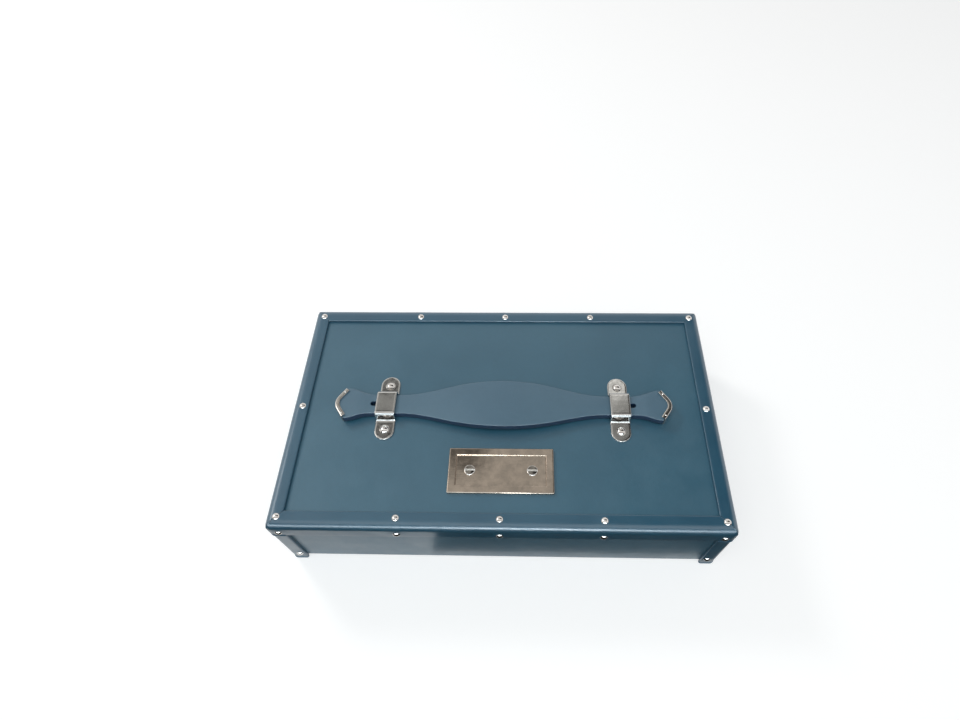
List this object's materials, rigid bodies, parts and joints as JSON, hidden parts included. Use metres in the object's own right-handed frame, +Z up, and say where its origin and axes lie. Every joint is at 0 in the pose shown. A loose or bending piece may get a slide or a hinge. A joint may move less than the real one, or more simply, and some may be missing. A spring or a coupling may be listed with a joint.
{
  "type": "stationery box",
  "caption": "Low leather-covered box for writing paper with a full-depth lift-off lid, studded edge bindings, a strap handle in metal saddle loops and a bare label plate.",
  "frame": {"origin": "middle of the box on the surface it stands on, at the underside of the felt", "axes": "+X to the right along the front, +Y from the front to the back, +Z up"},
  "size_m": [0.3638, 0.2138, 0.0883],
  "materials": {
    "panel_leather": "smooth petrol-blue leather with a fine grain and a soft sheen",
    "binding_leather": "thick smooth petrol-blue leather, slightly darker, polished along its bend",
    "handle_leather": "smooth blue leather with navy painted edges",
    "tray_leather": "thin matt blue leather",
    "nickel": "polished nickel plate",
    "board": "sanded plywood",
    "lining": "short-napped grey lining cloth",
    "felt": "dark felt"
  },
  "bodies": {
    "tray": {"base_felt": "felt", "base_board": "board", "tray_cover": "tray_leather", "tray_floor_pad": "lining", "tray_front_wall": "board", "tray_front_lining": "lining", "tray_back_wall": "board", "tray_back_lining": "lining", "tray_left_wall": "board", "tray_left_lining": "lining", "tray_right_wall": "board", "tray_right_lining": "lining"},
    "lid": {"lid_top_board": "board", "lid_top_leather": "panel_leather", "lid_top_lining": "lining", "lid_front_board": "board", "lid_front_leather": "panel_leather", "lid_front_lining": "lining", "lid_back_board": "board", "lid_back_leather": "panel_leather", "lid_back_lining": "lining", "lid_left_board": "board", "lid_left_leather": "panel_leather", "lid_left_lining": "lining", "lid_right_board": "board", "lid_right_leather": "panel_leather", "lid_right_lining": "lining", "top_binding_front": "binding_leather", "top_binding_back": "binding_leather", "top_binding_left": "binding_leather", "top_binding_right": "binding_leather", "corner_binding_front_left": "binding_leather", "corner_binding_front_right": "binding_leather", "corner_binding_back_left": "binding_leather", "corner_binding_back_right": "binding_leather", "studs_top": "nickel", "studs_front": "nickel", "studs_back": "nickel", "studs_left": "nickel", "studs_right": "nickel", "handle_loop_left": "nickel", "handle_pin_left": "nickel", "loop_nails_left": "nickel", "handle_loop_right": "nickel", "handle_pin_right": "nickel", "loop_nails_right": "nickel", "label_plate": "nickel", "label_screws": "nickel"},
    "handle": {"handle_strap": "handle_leather"},
    "handle_left_end": {"handle_tip_left": "nickel"},
    "handle_right_end": {"handle_tip_right": "nickel"}
  },
  "joints": [
    {"name": "lid_lift", "type": "slide", "parent": "tray", "child": "lid", "axis": [0, 0, 1], "range_m": [0, 0.15]},
    {"name": "handle_lift", "type": "slide", "parent": "lid", "child": "handle", "axis": [0, 0, 1], "range_m": [0, 0.032], "deforming": ["handle_strap"]},
    {"name": "handle_left_slide", "type": "slide", "parent": "handle", "child": "handle_left_end", "axis": [0.2425, 0, -0.9701], "range_m": [0, 0.03299]},
    {"name": "handle_right_slide", "type": "slide", "parent": "handle", "child": "handle_right_end", "axis": [-0.2425, 0, -0.9701], "range_m": [0, 0.03299]}
  ],
  "couplings": [
    {"joint": "handle_left_slide", "follows": "handle_lift", "ratio": 1.0308},
    {"joint": "handle_right_slide", "follows": "handle_lift", "ratio": 1.0308}
  ]
}
